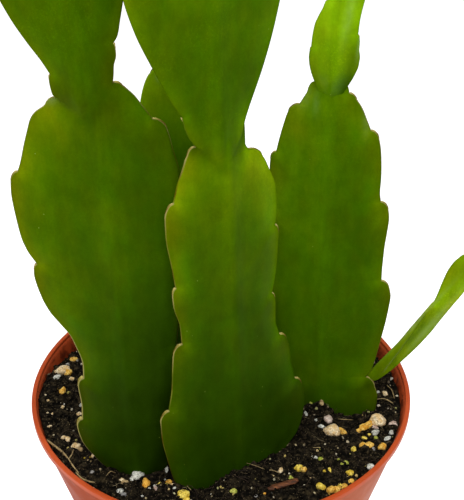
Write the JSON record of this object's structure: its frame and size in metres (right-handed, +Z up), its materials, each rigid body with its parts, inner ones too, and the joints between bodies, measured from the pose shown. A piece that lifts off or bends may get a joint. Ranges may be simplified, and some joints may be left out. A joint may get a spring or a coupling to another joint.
{
  "type": "potted orchid cactus",
  "caption": "Orchid cactus with flat, notched green stems and slim young shoots, rooted in gritty soil in a round tapered plastic pot.",
  "frame": {"origin": "centre of the pot's underside, on the surface that it stands on", "axes": "+Z up the plant, -Y towards the front, which the broad faces of the front stems look at, +X to the right of that front"},
  "size_m": [0.1287, 0.104, 0.2721],
  "materials": {
    "terracotta_plastic": "satin moulded plastic, terracotta orange",
    "potting_mix": "moist dark peat mix with pale mineral grains",
    "mature_stem": "waxy green skin, soft satin sheen",
    "young_shoot": "waxy bright green skin, glossier than the old stems"
  },
  "bodies": {
    "root": {"pot": "terracotta_plastic", "soil": "potting_mix", "stem_left": "mature_stem", "stem_front": "mature_stem", "stem_right": "mature_stem", "stem_back": "mature_stem", "shoot_top": "young_shoot", "shoot_side": "young_shoot"}
  },
  "joints": []
}
